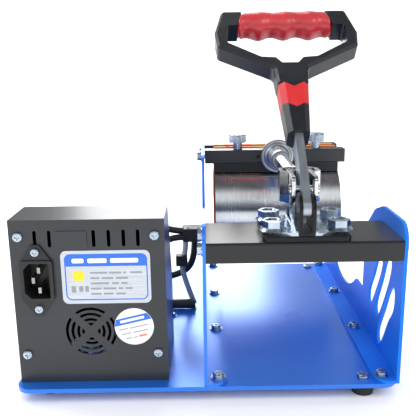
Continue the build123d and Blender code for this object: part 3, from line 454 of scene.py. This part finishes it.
def rating_print():
    outer = rounded(-94.2, -38.9, 60.8, 93.5, 4.0)
    inner = rounded(-93.4, -39.7, 61.6, 92.7, 3.3)
    ring_print("label_border", outer, inner, LABEL_FACE, INK_BLUE)
    header = rounded(-93.5, -39.6, 84.8, 92.8, 3.2)
    header = [(x, z) for x, z in header if z > 88] + [(-93.5, 84.8), (-39.6, 84.8)]
    printed("label_header", [header], LABEL_FACE, INK_BLUE, OVERPRINT)
    title = bars([(88.7, [(-89.2, -81.2), (-78.7, -65.9), (-63.6, -44.9)])], 3.2)
    printed("label_title", title, LABEL_FACE - OVERPRINT, INK_WHITE)
    rows = [(80.2, [(-77.4, -65.9), (-64.8, -56.6), (-55.2, -53.4), (-50.6, -42.6)]),
            (76.4, [(-77.4, -71.2), (-70.0, -62.0), (-60.4, -52.2)]),
            (72.7, [(-77.4, -65.0), (-63.2, -58.4), (-57.0, -52.6)]),
            (69.0, [(-77.4, -70.4), (-69.0, -60.4), (-58.8, -55.6), (-54.2, -49.4)]),
            (65.3, [(-77.4, -70.4), (-69.0, -62.4), (-60.6, -54.0)])]
    printed("label_rows", bars(rows, 1.35), LABEL_FACE, INK_GREY)
    printed("label_patch", [rounded(-89.0, -81.4, 74.6, 81.8, 1.2)], LABEL_FACE, INK_YELLOW)
    marks = [rounded(-90.4, -87.4, 66.4, 71.0, 0.5),
             rounded(-85.4, -82.4, 66.8, 71.0, 1.4),
             rounded(-81.2, -78.8, 66.8, 71.0, 0.4)]
    printed("label_marks", marks, LABEL_FACE, INK_GREY)


def tilted(shape, turn, centre):
    cos = math.cos(math.radians(turn))
    sin = math.sin(math.radians(turn))
    return [(centre[0] + s * cos - t * sin, centre[1] + s * sin + t * cos) for s, t in shape]


def chord_band(r, low, high, steps=12):
    # The part of a disc between two parallel chords
    points = []
    for k in range(steps + 1):
        t = low + (high - low) * k / steps
        points.append((math.sqrt(r * r - t * t), t))
    return points + [(-x, t) for x, t in reversed(points)]


def sticker_print():
    centre = (-49.5, 41.0)
    turn = 13.0
    band = tilted(chord_band(13.2, 2.9, 7.7), turn, centre)
    printed("sticker_band", [band], STICKER_FACE, INK_BLUE)
    title = [tilted(rounded(-8.6, 8.4, 4.4, 6.3, 0.5, 3), turn, centre)]
    printed("sticker_title", title, STICKER_FACE - OVERPRINT, INK_WHITE)
    lines = [(-10.6, -4.6, -0.6), (-3.2, 9.4, -0.9), (-9.8, -3.2, -4.2),
             (-1.8, 8.8, -4.5), (-7.6, -3.4, -7.8), (-2.4, 0.6, -8.1)]
    shapes = [tilted(rounded(a, b, t, t + 0.7, 0.2, 2), turn, centre) for a, b, t in lines]
    printed("sticker_lines", shapes, STICKER_FACE, INK_GREY)
    date = [tilted(rounded(1.4, 7.0, -8.3, -6.9, 0.4, 3), turn, centre)]
    printed("sticker_date", date, STICKER_FACE, INK_RED)


rating_print()
sticker_print()


# Finger grip ----------------------------------------------------------------------------------------

LEAN = math.radians(50.0)
GRIP_MID = at(CLAMP_X, 80.0, 193.0)
GRIP_UP = Vector((0, math.sin(LEAN), math.cos(LEAN)))
GRIP_OUT = Vector((0, -math.cos(LEAN), math.sin(LEAN)))


def grip_point(x, u, w):
    return GRIP_MID + Vector((x, 0, 0)) / 1000 + GRIP_UP * u / 1000 + GRIP_OUT * w / 1000


def smooth_step(value, low, high):
    t = min(1.0, max(0.0, (value - low) / (high - low)))
    return t * t * (3 - 2 * t)


def finger_grip():
    # Angle 0 points down the frame towards the fingers, 90 degrees out to the rear. Four finger lobes
    # swell on the side of the fingers, and fine ridges run along under them
    around = 288
    along = 112
    centre_u = 80.0
    lobe_pitch = 20.6
    verts = []
    for i in range(along + 1):
        t = -1 + 2 * i / along
        for j in range(around):
            a = 2 * math.pi * j / around
            down = 0.5 + 0.5 * math.cos(a - 0.25)
            under = 0.5 + 0.5 * math.cos(a + 0.6)
            half = 35.8 + 2.23 * math.cos(a)
            x = t * half
            end = smooth_step(half - abs(x), 0.0, 4.5) if abs(t) < 1 else 0.0
            round_off = 2.3 * (1 - math.sqrt(max(0.0, 1 - (1 - end) ** 2)))
            lobe = 2.1 * math.cos(2 * math.pi * x / lobe_pitch) * down ** 1.7
            ridge = 0.22 * max(0.0, math.sin(44 * a)) * smooth_step(under, 0.78, 0.95) * end
            r = 10.4 + 0.9 * down ** 2 + lobe * (0.4 + 0.6 * end) - round_off + ridge
            verts.append(grip_point(x, centre_u - r * math.cos(a), r * math.sin(a)))
    bore = 7.5
    for side in (1, -1):
        for j in range(around):
            a = 2 * math.pi * j / around
            inner = side * (35.4 + 1.6 * math.cos(a))
            verts.append(grip_point(inner, centre_u - bore * math.cos(a), bore * math.sin(a)))
    faces = tube_faces(along + 3, around, closed_rows=True)
    sleeve = piece("finger_grip", verts, faces, GRIP, "lever")
    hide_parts("handle_grip")


finger_grip()


# Mug wrap: heater pad and steel sleeve, which close with the near bar ---------------------------------

AXIS_Y = 192.0
AXIS_Z = 81.0
# Steps round the mug and up each lip
ROUND = 150
LIP = 12


def wrap_path(r, near, far, top):
    # From the top of the near lip, round under the mug's axis, to the top of the far lip
    a0 = math.asin((near - AXIS_Y) / r)
    a1 = math.asin((far - AXIS_Y) / r)
    path = []
    foot = AXIS_Z + r * math.cos(a0)
    for k in range(LIP):
        path.append((near, top + (foot - top) * k / LIP))
    for k in range(ROUND + 1):
        a = a0 - (2 * math.pi + a0 - a1) * k / ROUND
        path.append((AXIS_Y + r * math.sin(a), AXIS_Z + r * math.cos(a)))
    foot = AXIS_Z + r * math.cos(a1)
    for k in range(LIP):
        path.append((far, foot + (top - foot) * (k + 1) / LIP))
    return path


def wrap_layer(name, look, r_in, r_out, near, far, top, x0, x1, along, groove):
    # near and far are each lip's two faces; groove is 1 for quilting inside and a wandering end, or 0
    inner = wrap_path(r_in, near[1], far[0], top)
    outer = wrap_path(r_out, near[0], far[1], top)
    rim = inner + list(reversed(outer))
    n = len(rim)
    verts = []
    for i in range(along + 1):
        t = i / along
        for k, (y, z) in enumerate(rim):
            wander = 0.25 * math.sin(k * 0.21) * math.sin(k * 0.053) * groove
            x = x0 + 0.3 * groove + wander + (x1 - x0 - 0.6 * groove) * t
            if k < len(inner) and groove:
                dy, dz = y - AXIS_Y, z - AXIS_Z
                far_in = math.hypot(dy, dz)
                cell = abs(math.sin(math.pi * t * 9)) * abs(math.sin(math.pi * (k - LIP) / ROUND * 21))
                sink = 0.22 * smooth_step(0.28 - cell, 0.0, 0.28) * (LIP < k < LIP + ROUND)
                y += dy / far_in * sink
                z += dz / far_in * sink
            verts.append(at(x, y, z))
    faces = tube_faces(along + 1, n)
    for row, turn in ((0, 1), (along, -1)):
        for k in range(len(inner) - 1):
            quad = (row * n + k, row * n + k + 1, row * n + n - 2 - k, row * n + n - 1 - k)
            faces.append(quad[::turn])
    made = piece(name, verts, faces, look, None)
    flat = made.modifiers.new("edge", "EDGE_SPLIT")
    flat.split_angle = math.radians(40)
    return made


# Outer faces of the two lips
NEAR_LIP = 182.3
FAR_LIP = 201.7
PAD_TOP = 139.6
SLEEVE_TOP = 138.0
pad = wrap_layer("heater_mat", silicone(), 41.0, 43.3, (NEAR_LIP + 0.7, NEAR_LIP + 3.0),
                 (FAR_LIP - 3.0, FAR_LIP - 0.7), PAD_TOP, 8.4, 121.7, 126, 1.0)
band = wrap_layer("steel_sleeve", BAND, 43.45, 44.0, (NEAR_LIP, NEAR_LIP + 0.6),
                  (FAR_LIP - 0.6, FAR_LIP), SLEEVE_TOP, 9.4, 121.3, 40, 0.0)
for layer, node, slot in ((pad, "heater_pad", "silicone"), (band, "wrap_band", "stainless")):
    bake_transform(layer)
    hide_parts(node)


# Leads between the terminal block and the control box -------------------------------------------------

UPPER_LEAD = ((-20.5, 150, 69), (-31, 150, 69), (-54, 150, 80), (-85, 128, 60), (-92, 108, 20), (-92, 80, 14))
LOWER_LEAD = ((-20.5, 150, 63), (-33.5, 150, 63), (-58, 150, 46), (-80, 118, 22), (-80, 80, 14))
LOOP_LEAD = ((-10, 152, 60), (-10, 152, 40), (-23, 151, 27), (-50, 148, 25), (-68, 120, 22), (-68, 80, 22))
SENSOR_LEAD = ((-18.0, 146.6, 60), (-18.0, 146.6, 50), (-24, 144.8, 36), (-11, 143, 2.0))
SLEEVE = ((-104, 80, 6.5), (-96, 132, 5), (-52, 136, 4.6), (-10, 136, 4.6))


def lead(name, points, r, node, look):
    curve = bpy.data.curves.new(name, "CURVE")
    curve.dimensions = "3D"
    spline = curve.splines.new("NURBS")
    spline.points.add(len(points) - 1)
    for point, place in zip(spline.points, points):
        point.co = (*at(*place), 1)
    spline.order_u = 3
    spline.use_endpoint_u = True
    spline.resolution_u = 24
    curve.bevel_depth = r / 1000
    curve.bevel_resolution = 6
    curve.use_fill_caps = True
    curve.materials.append(look.mat)
    made = bpy.data.objects.new(name, curve)
    bpy.context.scene.collection.objects.link(made)
    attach(made, "machine")
    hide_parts(node)


lead("upper_wire", UPPER_LEAD, 3.0, "upper_lead", LEAD)
lead("lower_wire", LOWER_LEAD, 3.0, "lower_lead", LEAD)
lead("loop_wire", LOOP_LEAD, 3.0, "loop_lead", LEAD)
lead("sensor_wire", SENSOR_LEAD, 2.4, "sensor_lead", GREY_LEAD)
lead("sleeved_wire", SLEEVE, 4.2, "lead_sleeve", braid())


def heater_tail():
    # The short lead from the left panel into the pad's edge, which gives as the wrap closes
    around = 20
    along = 16
    verts = []
    for i in range(along + 1):
        t = i / along
        for j in range(around):
            a = 2 * math.pi * j / around
            r = 1.8 + 0.25 * math.exp(-(t * 8) ** 2) + 0.35 * smooth_step(t, 0.8, 1.0)
            sag = 0.5 * math.sin(math.pi * t)
            verts.append(at(-2.2 + 10.9 * t, TAIL_Y + r * math.cos(a), TAIL_Z + r * math.sin(a) - sag))
    faces = tube_faces(along + 1, around)
    faces.append(tuple(range(around)))
    faces.append(tuple(range(along * around, (along + 1) * around)))
    tail = piece("heater_tail", verts, faces, LEAD, None)
    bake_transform(tail)
    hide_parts("wrap_lead")


heater_tail()


# Studio -----------------------------------------------------------------------------------------------

def floor():
    look = Look("studio_floor")
    look.put("Base Color", look.ramp(look.noise(3.0), (0.3, (0.95, 0.95, 0.95)), (0.7, (0.97, 0.97, 0.97))))
    look.put("Roughness", look.span(look.noise(8.0), 0.55, 0.7))
    ground = piece("floor", [(-8, -8, 0), (8, -8, 0), (8, 8, 0), (-8, 8, 0)], [(0, 1, 2, 3)], look, None)


def area(name, place, aim, width, height, radiance, color=(1, 1, 1)):
    light = bpy.data.lights.new(name, "AREA")
    light.shape = "RECTANGLE"
    light.size = width
    light.size_y = height
    light.energy = radiance * math.pi * width * height
    light.color = color
    lamp = bpy.data.objects.new(name, light)
    bpy.context.scene.collection.objects.link(lamp)
    way = Vector(aim) - Vector(place)
    lamp.matrix_world = Matrix.Translation(place) @ way.to_track_quat("-Z", "Y").to_matrix().to_4x4()
    lamp.visible_camera = False


# Strength of the white seen directly and as fill
WHITE_STRENGTH = 1.45


def sky():
    # White to the eye and as fill. In reflections it is bright behind and to the left, dark in front,
    # with a few level bands that show as stripes along the steel sleeve
    world = bpy.data.worlds.new("studio")
    bpy.context.scene.world = world
    world.use_nodes = True
    tree = world.node_tree
    back = tree.nodes["Background"]

    def node(kind, sockets, **attrs):
        made = tree.nodes.new("ShaderNode" + kind)
        for key, value in attrs.items():
            setattr(made, key, value)
        for key, value in sockets.items():
            if isinstance(value, bpy.types.NodeSocket):
                tree.links.new(value, made.inputs[key])
            else:
                made.inputs[key].default_value = value
        return made

    def fade(value, a, b, low, high):
        sockets = {"Value": value, "From Min": a, "From Max": b, "To Min": low, "To Max": high}
        return node("MapRange", sockets, interpolation_type="SMOOTHSTEP").outputs[0]

    way = node("TexCoord", {}).outputs["Generated"]
    x, y, z = node("SeparateXYZ", {0: way}).outputs
    rear = fade(y, -0.1, 0.8, 0.0, 0.5)
    left = fade(x, -0.45, -0.85, 0.0, 0.75)
    ahead = node("Math", {0: y, 1: -1.0}, operation="MULTIPLY").outputs[0]
    tilt = node("Math", {0: z, 1: ahead}, operation="ARCTAN2").outputs[0]
    turn = node("MapRange", {"Value": tilt, "From Min": -math.pi, "From Max": math.pi}).outputs[0]
    level = node("ValToRGB", {0: turn})
    stops = ((0.0, 0.08), (0.535, 0.09), (0.56, 0.40), (0.58, 0.85),
             (0.62, 0.85), (0.645, 0.35), (0.67, 0.12), (1.0, 0.12))
    ramp = level.color_ramp
    while len(ramp.elements) < len(stops):
        ramp.elements.new(0.5)
    for element, (place, grey) in zip(ramp.elements, stops):
        element.position = place
        element.color = (grey, grey, grey, 1)
    most = node("Math", {0: rear, 1: left}, operation="MAXIMUM").outputs[0]
    stripe = node("Math", {0: level.outputs[0], 1: 1.3}, operation="MULTIPLY").outputs[0]
    most = node("Math", {0: most, 1: stripe}, operation="MAXIMUM").outputs[0]
    path = node("LightPath", {}).outputs
    unreflected = {0: path["Is Camera Ray"], 1: path["Is Diffuse Ray"]}
    plain = node("Math", unreflected, operation="MAXIMUM").outputs[0]
    pick = node("Mix", {0: plain, 2: most, 3: WHITE_STRENGTH})
    tree.links.new(pick.outputs[0], back.inputs["Strength"])
    back.inputs["Color"].default_value = (0.98, 0.99, 1.0, 1)


# The camera's turns, in degrees down, to the right and about its own axis, its lens and its place
PITCH = 13.615
YAW = 0.251
ROLL = -0.791
LENS = 52.02
EYE = (-0.001211, -0.498589, 0.226311)


def camera():
    pitch = math.radians(PITCH)
    yaw = math.radians(YAW)
    roll = math.radians(ROLL)
    ahead = Vector((math.sin(yaw) * math.cos(pitch), math.cos(yaw) * math.cos(pitch), -math.sin(pitch)))
    right = Vector((math.cos(yaw), -math.sin(yaw), 0))
    down = -right.cross(ahead)
    x = right * math.cos(roll) - down * math.sin(roll)
    y = -(right * math.sin(roll) + down * math.cos(roll))
    data = bpy.data.cameras.new("camera")
    data.sensor_width = 36.0
    data.lens = LENS
    data.clip_start = 0.01
    data.clip_end = 60.0
    made = bpy.data.objects.new("camera", data)
    bpy.context.scene.collection.objects.link(made)
    turn = Matrix((x, y, -ahead)).transposed().to_4x4()
    made.matrix_world = Matrix.Translation(EYE) @ turn
    bpy.context.scene.camera = made


floor()
sky()
# Each light's place, what it points at, its width and height, and its radiance
area("back_panel", (-0.08, 1.05, 0.50), (0, 0, 0.1), 0.50, 0.60, 5.6)
area("top_box", (0.02, 0.55, 1.05), (0.06, 0.03, 0.24), 0.34, 0.14, 6.0)
area("left_rim", (-0.9, 0.35, 0.95), (0, 0, 0.2), 0.4, 0.4, 7.0, (0.92, 0.96, 1.0))
area("right_key", (0.9, -0.5, 0.9), (0, 0, 0.12), 0.35, 0.35, 4.0)
camera()
bpy.context.scene.view_settings.view_transform = "Standard"
